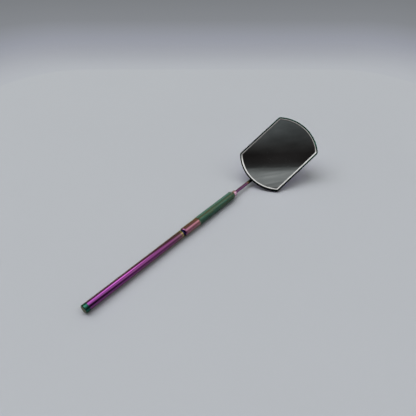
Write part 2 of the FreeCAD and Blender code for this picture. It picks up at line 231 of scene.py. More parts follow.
def new_material(name):
    material = bpy.data.materials.new(name)
    material.use_nodes = True
    return material, Graph(material.node_tree)


def finish_surface(graph, **inputs):
    """Principled shader, wired to the output; an underscore in an input's name stands for a space."""
    shader = graph.add("ShaderNodeBsdfPrincipled")
    for key, value in inputs.items():
        if isinstance(value, tuple):
            value = opaque(value)
        graph.plug(shader.inputs[key.replace("_", " ")], value)
    graph.add("ShaderNodeOutputMaterial", {"Surface": shader.outputs[0]})


def object_place(graph):
    """Object-space position in metres, and its distance along the handle from the tail."""
    place = graph.add("ShaderNodeTexCoord").outputs["Object"]
    parts = graph.add("ShaderNodeSeparateXYZ", {0: place})
    along = graph.maths("SUBTRACT", parts.outputs["X"], TAIL)
    return place, along


def axis_offset(graph):
    """Distance of a surface point from the handle's axis along Y and along Z."""
    place = graph.add("ShaderNodeTexCoord").outputs["Object"]
    parts = graph.add("ShaderNodeSeparateXYZ", {0: place})
    across = graph.maths("SUBTRACT", parts.outputs["Y"], AXIS_Y)
    up = graph.maths("SUBTRACT", parts.outputs["Z"], AXIS_Z)
    return across, up


def axis_angle(graph):
    """Angle round the handle's axis, and distance from it, of a surface point."""
    across, up = axis_offset(graph)
    return graph.maths("ARCTAN2", up, across), graph.hypotenuse(across, up)


def along_direction(graph, vector, direction):
    """Length of a vector along a fixed direction."""
    return graph.vector("DOT_PRODUCT", vector, tuple(direction))


def head_place(graph):
    """Place of a point on the head.

    Gives the distance in from the outline, the share of the way from the middle to the near right edge,
    and the unit vector that points inward from the nearest stretch of the outline.
    """
    place = graph.add("ShaderNodeTexCoord").outputs["Object"]
    from_middle = graph.vector("SUBTRACT", place, tuple(HEAD_MIDDLE))
    lengthwise = along_direction(graph, from_middle, HEAD_LENGTHWISE)
    sideways = along_direction(graph, from_middle, HEAD_SIDEWAYS)
    spread = graph.hypotenuse(lengthwise, sideways)
    arc_gap = graph.maths("SUBTRACT", RIM_RADIUS, spread)
    side_gap = graph.maths("SUBTRACT", RIM_HALF_WIDTH, graph.maths("ABSOLUTE", sideways))
    from_side = graph.vector("SCALE", tuple(-HEAD_SIDEWAYS), scale=graph.maths("SIGN", sideways))
    from_arc = graph.vector("SCALE", from_middle, scale=graph.maths("DIVIDE", -1.0, spread))
    inward = graph.mix(graph.maths("LESS_THAN", side_gap, arc_gap), from_arc, from_side)
    near_right = along_direction(graph, from_middle, NEAR_RIGHT / RIM_RADIUS)
    return graph.maths("MINIMUM", arc_gap, side_gap), near_right, inward


def rounded_normal(graph, inset, inward):
    """Normal of the retaining ring: gently rounded across its width, leaned towards the far left side."""
    middle = (RING_OUTER + RING_INNER) / 2
    across = graph.maths("DIVIDE", graph.maths("SUBTRACT", inset, middle), RING_INNER - middle)
    across = graph.maths("MINIMUM", graph.maths("MAXIMUM", across, -1.0), 1.0)
    rounding = graph.vector("SCALE", inward, scale=graph.maths("MULTIPLY", across, RING_ROUNDNESS))
    lean = graph.vector("ADD", rounding, tuple(RING_TILT))
    lean = graph.add(
        "ShaderNodeVectorTransform", {0: lean},
        vector_type="VECTOR", convert_from="OBJECT", convert_to="WORLD",
    ).outputs[0]
    normal = graph.add("ShaderNodeNewGeometry").outputs["Normal"]
    return graph.vector("NORMALIZE", graph.vector("ADD", normal, lean))


def share_along(graph, along, start, end):
    """0 at start and 1 at end, both in metres from the tail."""
    return graph.maths("DIVIDE", graph.maths("SUBTRACT", along, start), end - start, clamp=True)


def turned_finish(graph, place, base_roughness):
    """Roughness and normal of a turned and polished surface: fine rings, handling marks and smears."""
    rings = graph.noise(graph.stretched(place, (9000, 60, 60)), 1.0, detail=3.0)
    marks = graph.noise(graph.stretched(place, (160, 2600, 2600)), 1.0)
    smears = graph.noise(place, 170, detail=4.0, roughness=0.6)
    scratch = graph.step(marks, 0.66, 0.74)
    unevenness = graph.maths("MULTIPLY", graph.maths("SUBTRACT", smears, 0.5), 0.12)
    rough = graph.maths("ADD", base_roughness, unevenness)
    rough = graph.maths("ADD", rough, graph.maths("MULTIPLY", scratch, 0.10))
    normal = graph.bump(rings, 0.10, TURNING_DEPTH)
    normal = graph.bump(scratch, 0.06, TURNING_DEPTH, normal)
    return rough, normal


def rainbow_colour(graph, place, colour):
    """Colour of an interference coating whose thickness wanders a little along and round the piece."""
    wander = graph.noise(graph.stretched(place, (40, 190, 190)), 1.0, detail=3.0)
    fleck = graph.noise(place, 900)
    shifted = graph.add(
        "ShaderNodeHueSaturation",
        {"Hue": 0.53, "Saturation": 0.96, "Value": 1.06, "Color": colour},
    ).outputs[0]
    mixed = graph.mix(graph.step(wander, 0.35, 0.70, 0.0, 0.5), colour, shifted)
    dulled = graph.mix(0.35, mixed, grey(0.4))
    return graph.mix(graph.step(fleck, 0.60, 0.75, 0.0, 0.18), mixed, dulled)


# ---------------------------------------------------------------- materials

OLIVE_EDGE = (0.62, 0.66, 0.34, 1.0)
CLEAR_COAT = 0.7
COAT_ROUGHNESS = 0.06
TURNING_DEPTH = 0.02 * MM
# Distances from the handle's axis at which the stud's thread is dark at its roots and bright.
DARK_ROOT_RADIUS = 1.38 * MM
BRIGHT_RADIUS = 1.72 * MM
# Unit direction along Y and Z of the side that the coating's full colour faces; the flanks away from it carry
# a painted sheen, the coating's grazing-angle colour painted into its base colour.
FULL_COLOUR_SIDE = (-0.565, 0.825)


def flank_sheen_share(graph):
    """Share of the painted sheen: 1 on the two flanks of the handle, 0 on the side with the full colour and
    on the side opposite.
    """
    across, up = axis_offset(graph)
    towards = graph.maths("ADD", graph.maths("MULTIPLY", across, FULL_COLOUR_SIDE[0]),
                          graph.maths("MULTIPLY", up, FULL_COLOUR_SIDE[1]))
    facing = graph.maths("DIVIDE", towards, graph.hypotenuse(across, up))
    return graph.maths("MULTIPLY", graph.step(facing, 0.30, 0.85, 1.0, 0.0), graph.step(facing, -0.55, -0.15))


def tail_cap_material():
    """Green coating, brushed through to grey steel on the end face, darker towards the seam."""
    material, graph = new_material("green_coating")
    place, along = object_place(graph)
    green = graph.ramp(
        share_along(graph, along, 0.0, CAP_LENGTH),
        [
            (0.0, (0.08, 0.09, 0.08)), (0.10, (0.022, 0.090, 0.062)), (0.6, (0.020, 0.100, 0.070)),
            (1.0, (0.010, 0.050, 0.045)),
        ],
    )
    colour = rainbow_colour(graph, place, green)
    face = graph.step(along, 0.02 * MM, 0.3 * MM, 1.0, 0.0)
    lines = graph.noise(graph.stretched(place, (100, 3000, 400)), 1.0, detail=3.0)
    steel = graph.ramp(lines, [(0.3, (0.15, 0.13, 0.12)), (0.7, (0.30, 0.27, 0.25))])
    colour = graph.mix(face, colour, steel)
    rough, normal = turned_finish(graph, place, 0.22)
    rough = graph.maths("ADD", rough, graph.maths("MULTIPLY", face, 0.2))
    finish_surface(graph, Base_Color=colour, Metallic=1.0, Roughness=rough, Normal=normal,
                   Specular_Tint=(0.5, 0.62, 0.40, 1.0))
    return material


def rear_tube_material():
    """Violet coating, browner on the flanks with a painted sheen, redder towards the joint and yellow-olive
    on its chamfer.
    """
    material, graph = new_material("violet_coating")
    place, along = object_place(graph)
    share = share_along(graph, along, CAP_LENGTH, JOINT_PLACE)
    violet = graph.ramp(share, [
        (0.00, (0.145, 0.012, 0.160)), (0.06, (0.145, 0.012, 0.160)), (0.35, (0.142, 0.009, 0.144)),
        (0.60, (0.130, 0.010, 0.124)), (0.85, (0.124, 0.014, 0.106)), (0.965, (0.135, 0.045, 0.08)),
        (0.985, (0.24, 0.17, 0.07)), (1.00, (0.24, 0.23, 0.08)),
    ])
    # Flank colour: a painted sheen, the coating's grazing-angle colour shift painted on the two flanks.
    flank_sheen = graph.ramp(share, [
        (0.00, (0.17, 0.035, 0.155)), (0.12, (0.18, 0.045, 0.155)), (0.40, (0.21, 0.065, 0.150)),
        (0.85, (0.21, 0.075, 0.125)), (0.965, (0.20, 0.10, 0.09)), (1.00, (0.24, 0.23, 0.08)),
    ])
    colour = rainbow_colour(graph, place, graph.mix(flank_sheen_share(graph), violet, flank_sheen))
    rough, normal = turned_finish(graph, place, 0.07)
    finish_surface(graph, Base_Color=colour, Metallic=1.0, Roughness=rough, Normal=normal,
                   Specular_Tint=OLIVE_EDGE, Coat_Weight=CLEAR_COAT, Coat_Roughness=COAT_ROUGHNESS)
    return material


def washer_material():
    """Thin dark-blue ring at the bottom of the joint's groove."""
    material, graph = new_material("dark_blue_coating")
    place, _ = object_place(graph)
    wander = graph.noise(graph.stretched(place, (300, 500, 500)), 1.0, detail=3.0)
    blue = graph.ramp(
        wander,
        [(0.3, (0.022, 0.010, 0.070)), (0.55, (0.018, 0.025, 0.100)), (0.75, (0.03, 0.06, 0.10))],
    )
    rough, normal = turned_finish(graph, place, 0.28)
    finish_surface(graph, Base_Color=blue, Metallic=1.0, Roughness=rough, Normal=normal,
                   Specular_Tint=(0.5, 0.6, 0.8, 1.0))
    return material


def grip_material():
    """Purple shoulder, rose smooth length with a painted sheen on its flanks, then a matt green knurl with an
    olive streak, painted highlight facing up towards the near side and painted shade underneath.
    """
    material, graph = new_material("rose_to_green_coating")
    place, along = object_place(graph)
    angle, radius = axis_angle(graph)
    start = GRIP_LOW.x - TAIL
    smooth_end = KNURL_START - TAIL
    rose = graph.ramp(
        share_along(graph, along, start, smooth_end),
        [
            (0.00, (0.13, 0.025, 0.16)), (0.045, (0.19, 0.045, 0.15)), (0.12, (0.24, 0.075, 0.14)),
            (0.45, (0.25, 0.085, 0.135)), (0.75, (0.27, 0.095, 0.13)), (0.97, (0.30, 0.115, 0.135)),
            (1.0, (0.24, 0.13, 0.10)),
        ],
    )
    # Painted sheen: the rose turns browner on the two flanks.
    rose = graph.mix(flank_sheen_share(graph), rose, (0.20, 0.125, 0.085))
    streak = graph.noise(graph.stretched(place, (60, 700, 700)), 1.0, detail=3.0)
    green = graph.ramp(streak, [
        (0.30, (0.030, 0.105, 0.080)), (0.50, (0.045, 0.125, 0.085)),
        (0.64, (0.085, 0.105, 0.055)), (0.80, (0.05, 0.13, 0.10)),
    ])
    # Painted light and shade round the knurl: bands by angle round the axis, brightest facing up towards the
    # near side, darkest on the near underside, with teal and orange bands between.
    round_about = graph.maths("ADD", graph.maths("DIVIDE", angle, 2 * math.pi), 0.5)
    painted_light_bands = graph.ramp(round_about, [
        (0.15, (0.12, 0.45, 0.42)), (0.25, (0.45, 0.75, 0.70)), (0.60, (0.45, 0.75, 0.70)),
        (0.70, (0.50, 0.92, 1.05)), (0.745, (0.54, 0.88, 0.95)), (0.775, (1.15, 0.75, 0.58)),
        (0.80, (1.15, 0.80, 0.65)),
        (0.83, (1.05, 1.10, 1.00)), (0.88, (1.25, 1.30, 1.25)), (0.93, (1.00, 1.15, 1.15)),
        (0.97, (0.50, 0.80, 0.80)), (1.00, (0.25, 0.60, 0.60)),
    ])
    patches = graph.step(graph.noise(place, 260, detail=3.0), 0.25, 0.60, 0.55, 1.0)
    green = graph.mix(patches, green, graph.mix(1.0, green, painted_light_bands, "MULTIPLY"))
    crest = graph.maths("MULTIPLY", graph.step(radius, KNURL_RADIUS - 0.05 * MM, KNURL_RADIUS), 0.30)
    worn = graph.mix(crest, green, graph.mix(1.0, (0.24, 0.27, 0.22), painted_light_bands, "MULTIPLY"))
    on_knurl = graph.maths("MULTIPLY", graph.step(along, smooth_end - 0.08 * MM, smooth_end + 0.05 * MM),
                           graph.step(along, NOSE_PLACE - 0.55 * MM, NOSE_PLACE - 0.35 * MM, 1.0, 0.0))
    rose = graph.mix(graph.step(along, smooth_end, smooth_end + 10 * MM), rose, (0.50, 0.28, 0.40))
    colour = graph.mix(on_knurl, rainbow_colour(graph, place, rose), worn)
    rough, normal = turned_finish(graph, place, 0.07)
    rough = graph.maths("ADD", rough, graph.maths("MULTIPLY", on_knurl, 0.30))
    finish_surface(graph, Base_Color=colour, Metallic=1.0, Roughness=rough, Normal=normal,
                   Specular_Tint=OLIVE_EDGE, Coat_Weight=CLEAR_COAT, Coat_Roughness=COAT_ROUGHNESS)
    return material


def nose_material():
    """Pink coating of the ferrule's head, browner round its front edge."""
    material, graph = new_material("pink_coating")
    place, along = object_place(graph)
    pink = graph.ramp(
        share_along(graph, along, NOSE_PLACE, NOSE_PLACE + NOSE_LENGTH),
        [
            (0.0, (0.50, 0.30, 0.38)), (0.2, (0.74, 0.44, 0.64)), (0.7, (0.76, 0.46, 0.68)),
            (1.0, (0.46, 0.26, 0.32)),
        ],
    )
    rough, normal = turned_finish(graph, place, 0.20)
    finish_surface(graph, Base_Color=rainbow_colour(graph, place, pink), Metallic=1.0, Roughness=rough,
                   Normal=normal, Specular_Tint=OLIVE_EDGE)
    return material


def stem_material():
    """Purple stem, heat-tinted orange, olive and dark green towards the brazed end, with painted shade making
    that end near-black; bare steel thread.
    """
    material, graph = new_material("purple_to_black_coating")
    place, along = object_place(graph)
    # The last stops are near-black: painted shade on the stem's bend behind the cup, over a dark green heat
    # tint.
    colour = graph.ramp(
        share_along(graph, along, STEM_TINT_START, STEM_TINT_END),
        [
            (0.00, (0.19, 0.075, 0.20)), (0.37, (0.20, 0.075, 0.20)), (0.415, (0.30, 0.12, 0.12)),
            (0.445, (0.24, 0.16, 0.08)), (0.475, (0.09, 0.12, 0.06)), (0.51, (0.03, 0.05, 0.035)),
            (0.60, (0.02, 0.03, 0.03)), (1.0, (0.03, 0.04, 0.04)),
        ],
    )
    thread = graph.step(along, THREAD_END, THREAD_END + 0.5 * MM, 1.0, 0.0)
    colour = graph.mix(thread, rainbow_colour(graph, place, colour), (0.46, 0.44, 0.42))
    rough, normal = turned_finish(graph, place, 0.24)
    finish_surface(graph, Base_Color=colour, Metallic=1.0, Roughness=rough, Normal=normal,
                   Specular_Tint=OLIVE_EDGE)
    return material


def cup_material():
    """Green-black coating on the rim, greener towards its far end, and blue-violet on the back."""
    material, graph = new_material("green_black_coating")
    place, along = object_place(graph)
    facing_front = along_direction(graph, graph.add("ShaderNodeTexCoord").outputs["Normal"], CUP_FRONT)
    wander = graph.noise(graph.stretched(place, (70, 70, 70)), 1.0, detail=3.0)
    back = graph.ramp(
        wander,
        [(0.30, (0.16, 0.08, 0.42)), (0.55, (0.25, 0.11, 0.52)), (0.75, (0.17, 0.11, 0.48))],
    )
    rim = graph.ramp(
        share_along(graph, along, CUP_TINT_START, CUP_TINT_END),
        [
            (0.0, (0.003, 0.007, 0.008)), (0.5, (0.004, 0.013, 0.011)), (0.85, (0.006, 0.070, 0.045)),
            (1.0, (0.008, 0.140, 0.085)),
        ],
    )
    colour = graph.mix(graph.step(facing_front, -0.55, -0.15), back, rim)
    rough, normal = turned_finish(graph, place, 0.24)
    finish_surface(graph, Base_Color=colour, Metallic=1.0, Roughness=rough, Normal=normal,
                   Specular_Tint=(0.25, 0.40, 0.32, 1.0))
    return material


def braze_material():
    """Dark silver braze with a straw and brown heat tint and small pits."""
    material, graph = new_material("braze_metal")
    place, _ = object_place(graph)
    tint = graph.noise(place, 700, detail=4.0)
    colour = graph.ramp(
        tint,
        [(0.30, (0.10, 0.08, 0.07)), (0.5, (0.26, 0.20, 0.13)), (0.7, (0.38, 0.33, 0.25))],
    )
    lumps = graph.noise(place, 1500, detail=4.0)
    rough = graph.step(lumps, 0.3, 0.7, 0.32, 0.50)
    finish_surface(graph, Base_Color=colour, Metallic=1.0, Roughness=rough,
                   Normal=graph.bump(lumps, 0.35, 0.1 * MM))
    return material


def ring_material():
    """Silver retaining ring, with painted shade: duller on the far left half and dark along its outer edge
    there.
    """
    material, graph = new_material("bright_silver")
    place, _ = object_place(graph)
    tone = graph.noise(place, 260, detail=3.0)
    colour = graph.ramp(tone, [(0.3, (0.25, 0.246, 0.24)), (0.7, (0.31, 0.31, 0.305))])
    inset, near_right, inward = head_place(graph)
    # Painted shade: the far left half of the ring is dulled, and its outer edge there darkened so that only a
    # thin bright line shows.
    painted_far_shade = graph.step(near_right, -0.10, 0.12, 1.0, 0.0)
    colour = graph.mix(painted_far_shade, colour, (0.125, 0.115, 0.113))
    painted_edge_shade = graph.maths("MULTIPLY", painted_far_shade, graph.step(inset, 1.15 * MM, 1.35 * MM, 1.0, 0.0))
    colour = graph.mix(painted_edge_shade, colour, (0.05, 0.07, 0.065))
    rough, _ = turned_finish(graph, place, 0.22)
    finish_surface(graph, Base_Color=colour, Metallic=1.0, Roughness=rough,
                   Normal=rounded_normal(graph, inset, inward))
    return material


def mirror_material():
    """Silvered glass: sharp reflection, faint wiping smears, dust, and a painted dark reflection along its
    near right edge.
    """
    material, graph = new_material("silvered_glass")
    place, _ = object_place(graph)
    smears = graph.noise(graph.stretched(place, (60, 140, 90)), 1.0, detail=4.0, roughness=0.6)
    dust = graph.noise(place, 2600)
    grains = graph.step(dust, 0.74, 0.80)
    colour = graph.mix(graph.step(smears, 0.35, 0.75, 0.0, 1.0), (0.86, 0.875, 0.87), (0.82, 0.84, 0.835))
    colour = graph.mix(grains, colour, (0.55, 0.56, 0.56))
    inset, near_right, _ = head_place(graph)
    # Painted reflection: a dark crescent along the glass's near right edge, inside the ring.
    painted_dark_reflection = graph.maths("MULTIPLY", graph.step(inset, RING_INNER + 1.5 * MM, RING_INNER + 2.1 * MM, 1.0, 0.0),
                       graph.step(near_right, 0.86, 0.93))
    colour = graph.mix(painted_dark_reflection, colour, (0.04, 0.04, 0.045))
    rough = graph.step(smears, 0.45, 0.80, 0.015, 0.055)
    rough = graph.maths("ADD", rough, graph.maths("MULTIPLY", grains, 0.25))
    finish_surface(graph, Base_Color=colour, Metallic=1.0, Roughness=rough)
    return material


def backing_material():
    """Grey protective paint over the silvering."""
    material, graph = new_material("backing_paint")
    place, _ = object_place(graph)
    brush = graph.noise(graph.stretched(place, (120, 900, 120)), 1.0, detail=3.0)
    colour = graph.ramp(brush, [(0.3, (0.030, 0.031, 0.034)), (0.7, (0.050, 0.051, 0.055))])
    finish_surface(graph, Base_Color=colour, Roughness=0.55, Normal=graph.bump(brush, 0.2, 0.05 * MM))
    return material


def adhesive_material():
    """Cream bonding layer with trapped bubbles."""
    material, graph = new_material("adhesive")
    place, _ = object_place(graph)
    bubbles = graph.add("ShaderNodeTexVoronoi", {"Vector": place, "Scale": 900}).outputs["Distance"]
    colour = graph.ramp(bubbles, [(0.0, (0.42, 0.40, 0.34)), (0.5, (0.56, 0.54, 0.48))])
    finish_surface(graph, Base_Color=colour, Roughness=0.45, Normal=graph.bump(bubbles, 0.3, 0.1 * MM))
    return material


def bare_steel_material():
    """Turned steel of the joint stud, darker at the thread roots."""
    material, graph = new_material("turned_steel")
    place, _ = object_place(graph)
    _, radius = axis_angle(graph)
    bright = graph.step(radius, DARK_ROOT_RADIUS, BRIGHT_RADIUS)
    tone = graph.noise(place, 500, detail=3.0)
    metal = graph.ramp(tone, [(0.3, (0.42, 0.41, 0.39)), (0.7, (0.60, 0.59, 0.57))])
    colour = graph.mix(bright, (0.16, 0.14, 0.12), metal)
    rough, normal = turned_finish(graph, place, 0.26)
    finish_surface(graph, Base_Color=colour, Metallic=1.0, Roughness=rough, Normal=normal)
    return material


def rubber_material():
    """Black rubber of the sealing ring, with a faint grey bloom."""
    material, graph = new_material("seal_rubber")
    place, _ = object_place(graph)
    bloom = graph.noise(place, 2400, detail=3.0)
    colour = graph.ramp(bloom, [(0.35, (0.012, 0.012, 0.013)), (0.75, (0.045, 0.044, 0.043))])
    finish_surface(graph, Base_Color=colour, Roughness=0.62, Normal=graph.bump(bloom, 0.3, 0.03 * MM))
    return material


# ---------------------------------------------------------------- pieces

def link_mesh(name, bm, smooth_angle):
    """Object from a bmesh, shaded smooth except across edges sharper than smooth_angle."""
    mesh = bpy.data.meshes.new(name)
    bm.normal_update()
    for face in bm.faces:
        face.smooth = True
    for painted_dark_reflection in bm.edges:
        if len(painted_dark_reflection.link_faces) == 2 and painted_dark_reflection.calc_face_angle(0.0) > smooth_angle:
            painted_dark_reflection.smooth = False
    bm.to_mesh(mesh)
    bm.free()
    piece = bpy.data.objects.new(name, mesh)
    bpy.context.scene.collection.objects.link(piece)
    return piece


def axis_point(bm, x, radius, angle):
    """Vertex at a distance and an angle from the handle's axis."""
    return bm.verts.new((x, AXIS_Y + radius * math.cos(angle), AXIS_Z + radius * math.sin(angle)))


def ring_points(bm, x, radius, count):
    """Circle of vertices round the handle's axis."""
    return [axis_point(bm, x, radius, 2 * math.pi * k / count) for k in range(count)]


def bridge(bm, first, second):
    """Quads between two rings with the same number of vertices."""
    count = len(first)
    for k in range(count):
        bm.faces.new((first[k], second[k], second[(k + 1) % count], first[(k + 1) % count]))


def knurl_height(x):
    """Share of the full knurl depth at x: the cut runs out at both ends."""
    from_end = min(x - KNURL_START, TAPER_START - x)
    return max(0.0, min(1.0, from_end / KNURL_RUN_OUT))


def knurl_rows(bm):
    """Rings of vertices that alternate between groove crossings and diamond tops."""
    columns = 2 * KNURL_STARTS
    rows = round((TAPER_START - KNURL_START) / (KNURL_STEP / 2))
    rings = []
    for i in range(rows + 1):
        x = KNURL_START + (TAPER_START - KNURL_START) * i / rows
        deep = KNURL_RADIUS - KNURL_DEPTH * knurl_height(x)
        ring = []
        for j in range(columns):
            radius = deep if (i + j) % 2 == 0 else KNURL_RADIUS
            ring.append(axis_point(bm, x, radius, 2 * math.pi * j / columns))
        rings.append(ring)
    return rings


def knurl_faces(bm, rings):
    """Two triangles for each lattice square, split along the bottom of the groove."""
    columns = len(rings[0])
    for i in range(len(rings) - 1):
        for j in range(columns):
            beside = (j + 1) % columns
            here, next_here = rings[i][j], rings[i + 1][j]
            there, next_there = rings[i][beside], rings[i + 1][beside]
            if (i + j) % 2 == 0:
                bm.faces.new((here, next_here, next_there))
                bm.faces.new((here, next_there, there))
            else:
                bm.faces.new((here, next_here, there))
                bm.faces.new((next_here, next_there, there))


def build_grip():
    """Front handle as one closed skin: smooth length, diamond knurl, taper and the two end bores."""
    bm = bmesh.new()
    count = 2 * KNURL_STARTS
    rings = knurl_rows(bm)
    knurl_faces(bm, rings)
    back = GRIP_LOW.x
    front = GRIP_HIGH.x
    rear_profile = [
        (KNURL_START - 0.1 * MM, SMOOTH_RADIUS),
        (KNURL_START - 0.4 * MM, SMOOTH_RADIUS),
        (back + SHOULDER_LENGTH + 0.3 * MM, SMOOTH_RADIUS),
        (back + SHOULDER_LENGTH, SMOOTH_RADIUS - 0.01 * MM),
        (back + SHOULDER_LENGTH * 0.5, SMOOTH_RADIUS - SHOULDER_DROP * 0.35),
        (back + 0.05 * MM, SMOOTH_RADIUS - SHOULDER_DROP * 0.94),
        (back, SMOOTH_RADIUS - SHOULDER_DROP * 1.08),
        (back, STUD_BORE_RADIUS + BORE_CHAMFER),
        (back + BORE_CHAMFER, STUD_BORE_RADIUS),
        (back + STUD_BORE_DEPTH, STUD_BORE_RADIUS),
    ]
    front_profile = [
        (TAPER_START + 0.12 * MM, KNURL_RADIUS - 0.03 * MM),
        (front - 0.1 * MM, TAPER_RADIUS + 0.05 * MM),
        (front, TAPER_RADIUS - 0.05 * MM),
        (front, FERRULE_BORE_RADIUS),
        (front - FERRULE_BORE_DEPTH, FERRULE_BORE_RADIUS),
    ]
    last = rings[0]
    for x, radius in rear_profile:
        ring = ring_points(bm, x, radius, count)
        bridge(bm, ring, last)
        last = ring
    bm.faces.new(last)
    last = rings[-1]
    for x, radius in front_profile:
        ring = ring_points(bm, x, radius, count)
        bridge(bm, last, ring)
        last = ring
    bm.faces.new(list(reversed(last)))
    bmesh.ops.recalc_face_normals(bm, faces=bm.faces[:])
    piece = link_mesh("grip_skin", bm, KNURL_EDGE_ANGLE)
    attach(piece, "grip")
    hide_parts("grip")
    return piece


# ---------------------------------------------------------------- stage

FLOOR_GREY = (0.61, 0.63, 0.70)
WALL_DISTANCE = 0.32
SWEEP_RADIUS = 0.07
CORNER_RADIUS = 0.14
WALL_HEIGHT = 0.55
WALL_LIFT = 0.05 * MM
FLOOR_REACH = 3.0
SWEEP_STEPS = 12
CORNER_STEPS = 10


def floor_material():
    """Pale matt table top with very faint mottling."""
    material, graph = new_material("pale_table")
    place = graph.add("ShaderNodeTexCoord").outputs["Object"]
    tone = graph.noise(place, 9, detail=3.0)
    colour = graph.mix(tone, FLOOR_GREY, tuple(value * 0.97 for value in FLOOR_GREY))
    finish_surface(graph, Base_Color=colour, Roughness=0.7)
    return material


def wall_material():
    """The table's colour at the foot, then a glow of its own that falls off to a darker grey."""
    material, graph = new_material("pale_backdrop")
    place = graph.add("ShaderNodeTexCoord").outputs["Object"]
    height = graph.add("ShaderNodeSeparateXYZ", {0: place}).outputs["Z"]
    # The glow is painted light, and its fall-off to a darker grey higher up is painted shade of the wall.
    glow = graph.ramp(
        graph.maths("DIVIDE", height, WALL_HEIGHT, clamp=True),
        [
            (0.0, srgb(168, 171, 180)), (0.03, srgb(152, 155, 165)), (0.0625, srgb(133, 136, 141)),
            (0.10, srgb(125, 128, 132)), (0.25, srgb(120, 123, 128)), (1.0, srgb(118, 121, 126)),
        ],
    )
    lit = graph.add("ShaderNodeBsdfDiffuse", {"Color": opaque(FLOOR_GREY)}).outputs[0]
    light = graph.add("ShaderNodeEmission", {"Color": glow}).outputs[0]
    share = graph.step(height, 0.0, 0.02)
    both = graph.add("ShaderNodeMixShader", {0: share, 1: lit, 2: light}).outputs[0]
    graph.add("ShaderNodeOutputMaterial", {"Surface": both})
    return material


def rounded_square(half, corner):
    """Points of a square of half-width half with round corners, turned to face the camera's heading."""
    points = []
    turn = -CAMERA_HEADING
    for quarter in range(4):
        diagonal = math.pi / 4 + quarter * math.pi / 2
        centre_x = math.copysign(half - corner, math.cos(diagonal))
        centre_y = math.copysign(half - corner, math.sin(diagonal))
        for k in range(CORNER_STEPS + 1):
            angle = quarter * math.pi / 2 + k * math.pi / 2 / CORNER_STEPS
            x, y = centre_x + corner * math.cos(angle), centre_y + corner * math.sin(angle)
            points.append((x * math.cos(turn) - y * math.sin(turn), x * math.sin(turn) + y * math.cos(turn)))
    return points


def build_floor():
    """Flat table top at the level that the mirror rests on."""
    bm = bmesh.new()
    corners = [(-1, -1), (1, -1), (1, 1), (-1, 1)]
    bm.faces.new([bm.verts.new((x * FLOOR_REACH, y * FLOOR_REACH, 0.0)) for x, y in corners])
    floor = link_mesh("table_top", bm, math.pi)
    floor.data.materials.append(floor_material())
    return floor


def build_wall():
    """Backdrop that sweeps up round the table and is left out of reflections and shadows."""
    bm = bmesh.new()
    profile = []
    for k in range(SWEEP_STEPS + 1):
        angle = math.pi / 2 * k / SWEEP_STEPS
        profile.append((WALL_DISTANCE - SWEEP_RADIUS * (1 - math.sin(angle)),
                        WALL_LIFT + SWEEP_RADIUS * (1 - math.cos(angle))))
    profile.append((WALL_DISTANCE, WALL_HEIGHT))
    last = None
    for half, height in profile:
        outline = rounded_square(half, CORNER_RADIUS * half / WALL_DISTANCE)
        ring = [bm.verts.new((x, y, height)) for x, y in outline]
        if last:
            bridge(bm, last, ring)
        last = ring
    wall = link_mesh("backdrop", bm, math.pi)
    wall.data.materials.append(wall_material())
    wall.visible_glossy = False
    wall.visible_diffuse = False
    wall.visible_shadow = False
    return wall


def build_stage():
    """Table top and backdrop, which are no part of the mirror."""
    floor = build_floor()
    wall = build_wall()


# ---------------------------------------------------------------- light

PANEL_GLOW = 2.6
STRIP_GLOW = 3.0
BEYOND_PANEL = (0.38, 0.42, 0.25)
RIGHT_SIDE = (0.46, 0.45, 0.43)
# Least height of a direction, so that level and downward ones still meet the ceiling.
LEAST_HEIGHT = 0.02
# Slope and start of the lines that bound the panel, and of the strip, from left to right on the ceiling.
FAR_EDGES = ((-0.35, 0.61), (-0.85, 0.56))
NEAR_EDGE = (-0.36, 0.08)
STRIP_LINE = (-0.38, 0.45)
# The far edge is never nearer than this, and the near edge never farther ahead.
LEAST_FAR_EDGE = 0.32
MOST_NEAR_EDGE = -0.03
# Width of the far edge's soft border: a line too, kept between two widths.
BORDER_LINE = (-0.3, 0.12)
LEAST_BORDER, MOST_BORDER = 0.08, 0.22
# Brightness of the panel from straight ahead to FADE_REACH on the right.
FADE_REACH = 3.0
PANEL_FADE = (
    (0.03, 1.0), (0.08, 0.78), (0.127, 0.66), (0.17, 0.54), (0.25, 0.57), (0.32, 0.48), (0.385, 0.32),
    (0.48, 0.20), (0.58, 0.07), (0.80, 0.0),
)


def overhead_place(graph):
    """Where a direction meets a ceiling one unit up: how far ahead of the camera and how far to its right."""
    direction = graph.add("ShaderNodeTexCoord").outputs["Generated"]
    parts = graph.add("ShaderNodeSeparateXYZ", {0: direction})
    height = graph.maths("MAXIMUM", parts.outputs["Z"], LEAST_HEIGHT)
    heading = (math.sin(CAMERA_HEADING), math.cos(CAMERA_HEADING), 0)
    sideways = (math.cos(CAMERA_HEADING), -math.sin(CAMERA_HEADING), 0)
    return [
        graph.maths("DIVIDE", along_direction(graph, direction, way), height)
        for way in (heading, sideways)
    ]


def on_line(graph, right, line):
    """Value of a straight line, given as its slope and start, at a distance to the right."""
    slope, start = line
    return graph.maths("MULTIPLY_ADD", right, slope, start)


def past_far_edge(graph, ahead, right):
    """How far a place is beyond the panel's slanted far edge, in widths of that edge's soft border."""
    nearest = graph.maths("MINIMUM", *(on_line(graph, right, line) for line in FAR_EDGES))
    far_edge = graph.maths("MAXIMUM", nearest, LEAST_FAR_EDGE)
    border = graph.maths("MINIMUM", on_line(graph, right, BORDER_LINE), MOST_BORDER)
    border = graph.maths("MAXIMUM", border, LEAST_BORDER)
    return graph.maths("DIVIDE", graph.maths("SUBTRACT", ahead, far_edge), border)


